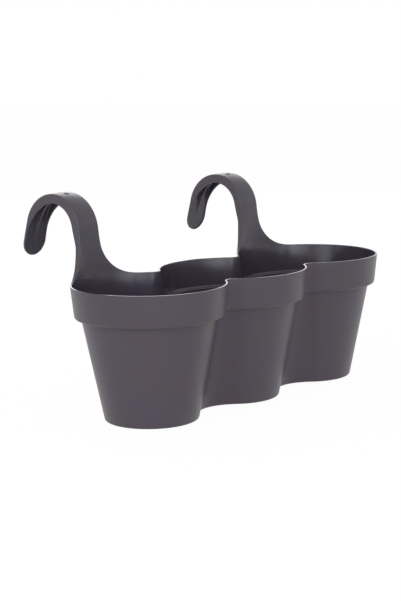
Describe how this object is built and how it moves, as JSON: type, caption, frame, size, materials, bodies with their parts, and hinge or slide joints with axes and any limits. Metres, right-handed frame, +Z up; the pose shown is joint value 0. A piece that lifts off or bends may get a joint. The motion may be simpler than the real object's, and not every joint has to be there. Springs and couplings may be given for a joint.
{
  "type": "balcony planter",
  "caption": "Long balcony planter of round tapered pots run together into one open trough, with a wide collar, hooks that hang it over a railing and push-in drain plugs.",
  "frame": {"origin": "centre of the flat base, under the middle pot's axis, where the planter stands on a surface", "axes": "+X along the row of pots, +Y from the pots towards the hooks and the railing, +Z up"},
  "size_m": [0.46, 0.2696, 0.2432],
  "materials": {
    "pot_plastic": "satin anthracite moulded polypropylene",
    "plug_rubber": "matt soft black"
  },
  "bodies": {
    "planter": {"trough": "pot_plastic", "rim_collar": "pot_plastic", "left_hook": "pot_plastic", "right_hook": "pot_plastic"},
    "left_plug": {"left_drain_plug": "plug_rubber"},
    "middle_plug": {"middle_drain_plug": "plug_rubber"},
    "right_plug": {"right_drain_plug": "plug_rubber"}
  },
  "joints": [
    {"name": "left_plug_pull", "type": "slide", "parent": "planter", "child": "left_plug", "axis": [0, 0, 1], "range_m": [0, 0.008]},
    {"name": "middle_plug_pull", "type": "slide", "parent": "planter", "child": "middle_plug", "axis": [0, 0, 1], "range_m": [0, 0.008]},
    {"name": "right_plug_pull", "type": "slide", "parent": "planter", "child": "right_plug", "axis": [0, 0, 1], "range_m": [0, 0.008]}
  ]
}
